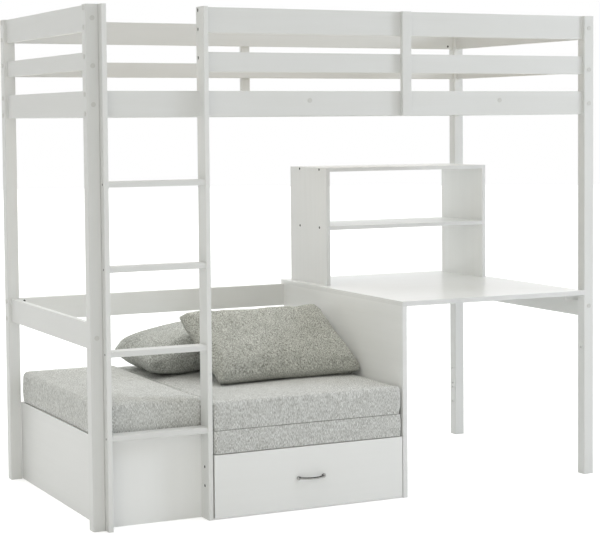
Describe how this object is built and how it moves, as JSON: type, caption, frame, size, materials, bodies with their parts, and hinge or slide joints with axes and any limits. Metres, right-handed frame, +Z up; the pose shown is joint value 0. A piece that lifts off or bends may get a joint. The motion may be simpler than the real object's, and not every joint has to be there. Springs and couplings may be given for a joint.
{
  "type": "cabin bed",
  "caption": "High single bunk on four posts with a front ladder, a cushioned seat whose right part slides out as a guest bed, and a desk with a shelf unit underneath.",
  "frame": {"origin": "on the floor, under the centre of the whole bed's bounding box", "axes": "+X along the bed to its right end as seen from the ladder side, +Y to the rear, +Z up; the front with the ladder and handle faces -Y"},
  "size_m": [2.074, 1.1074, 1.8],
  "materials": {
    "painted_wood": "satin white paint",
    "painted_board": "satin white board",
    "slat_wood": "plain pine",
    "cushion_fabric": "light grey melange weave",
    "handle_metal": "satin chrome",
    "zinc_steel": "zinc plated",
    "cap_plastic": "matt",
    "wheel_plastic": "matt"
  },
  "bodies": {
    "frame": {"post_front_left": "painted_wood", "post_front_right": "painted_wood", "post_rear_left": "painted_wood", "post_rear_right": "painted_wood", "end_rail_left_top": "painted_wood", "end_rail_left_mid": "painted_wood", "end_rail_left_side": "painted_wood", "end_rail_left_low": "painted_wood", "end_rail_right_top": "painted_wood", "end_rail_right_mid": "painted_wood", "end_rail_right_side": "painted_wood", "end_rail_right_low": "painted_wood", "side_rail_front": "painted_wood", "guard_rail_front_top": "painted_wood", "guard_rail_front_mid": "painted_wood", "guard_upright_front": "painted_wood", "side_rail_rear": "painted_wood", "guard_rail_rear_top": "painted_wood", "guard_rail_rear_mid": "painted_wood", "guard_upright_rear": "painted_wood", "low_rail_rear": "painted_wood", "ladder_stile_left": "painted_wood", "ladder_stile_right": "painted_wood", "rung_1": "painted_wood", "rung_2": "painted_wood", "rung_3": "painted_wood", "rung_4": "painted_wood", "bunk_battens": "painted_wood", "bunk_slats": "slat_wood", "box_front_panel": "painted_board", "box_end_panel": "painted_board", "box_divider": "painted_board", "box_slat_deck": "slat_wood", "support_battens": "painted_wood", "seat_rear_rail": "painted_wood", "seat_fixed_slats": "slat_wood", "desktop": "painted_board", "desk_side_panel": "painted_board", "hutch_side_left": "painted_board", "hutch_side_right": "painted_board", "hutch_top_shelf": "painted_board", "hutch_mid_shelf": "painted_board", "seat_cushion": "cushion_fabric", "frame_bolts": "zinc_steel", "bolt_caps": "cap_plastic", "panel_screws": "zinc_steel"},
    "pullout": {"pullout_front": "painted_board", "pullout_sides": "painted_board", "pullout_beams": "painted_wood", "pullout_slats": "slat_wood", "pullout_axles": "zinc_steel", "bow_handle": "handle_metal", "mattress_lower": "cushion_fabric", "mattress_upper": "cushion_fabric", "pillow_front": "cushion_fabric", "pillow_rear": "cushion_fabric"},
    "wheel_fl": {"wheel_front_left": "wheel_plastic"},
    "wheel_fr": {"wheel_front_right": "wheel_plastic"},
    "wheel_rl": {"wheel_rear_left": "wheel_plastic"},
    "wheel_rr": {"wheel_rear_right": "wheel_plastic"}
  },
  "joints": [
    {"name": "pullout_slide", "type": "slide", "parent": "frame", "child": "pullout", "axis": [0, -1, 0], "range_m": [0, 0.9]},
    {"name": "wheel_fl_spin", "type": "hinge", "parent": "pullout", "child": "wheel_fl", "pos_m": [-0.5645, -0.43475, 0.025], "axis": [1, 0, 0], "range_deg": [-5, 2070]},
    {"name": "wheel_fr_spin", "type": "hinge", "parent": "pullout", "child": "wheel_fr", "pos_m": [0.1205, -0.43475, 0.025], "axis": [1, 0, 0], "range_deg": [-5, 2070]},
    {"name": "wheel_rl_spin", "type": "hinge", "parent": "pullout", "child": "wheel_rl", "pos_m": [-0.5645, 0.38525, 0.025], "axis": [1, 0, 0], "range_deg": [-5, 2070]},
    {"name": "wheel_rr_spin", "type": "hinge", "parent": "pullout", "child": "wheel_rr", "pos_m": [0.1205, 0.38525, 0.025], "axis": [1, 0, 0], "range_deg": [-5, 2070]}
  ],
  "couplings": [
    {"joint": "wheel_fl_spin", "follows": "pullout_slide", "rad_per_m": 40},
    {"joint": "wheel_fr_spin", "follows": "pullout_slide", "rad_per_m": 40},
    {"joint": "wheel_rl_spin", "follows": "pullout_slide", "rad_per_m": 40},
    {"joint": "wheel_rr_spin", "follows": "pullout_slide", "rad_per_m": 40}
  ]
}
